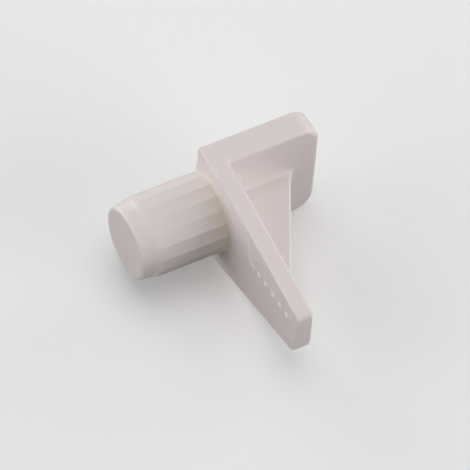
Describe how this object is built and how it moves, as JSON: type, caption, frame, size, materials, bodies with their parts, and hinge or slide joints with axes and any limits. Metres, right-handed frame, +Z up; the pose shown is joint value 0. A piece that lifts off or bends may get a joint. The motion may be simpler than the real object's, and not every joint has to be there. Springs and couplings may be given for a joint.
{
  "type": "shelf support pin",
  "caption": "Plastic shelf support: a ribbed push-in peg on a tapered back plate, with a flat plate that carries the shelf and a triangular web under it.",
  "frame": {"origin": "on the peg's axis, in the plane of the back face, where the centre of the drilled hole's mouth lies in use", "axes": "+X points away from the cabinet wall and the peg points along -X; +Z is up, and the shelf rests on the top face; Y is the width, and the part is mirror symmetrical about Y = 0"},
  "size_m": [0.0205, 0.0118, 0.0202],
  "materials": {
    "moulding": "satin"
  },
  "bodies": {
    "root": {"shelf_support": "moulding"}
  },
  "joints": []
}
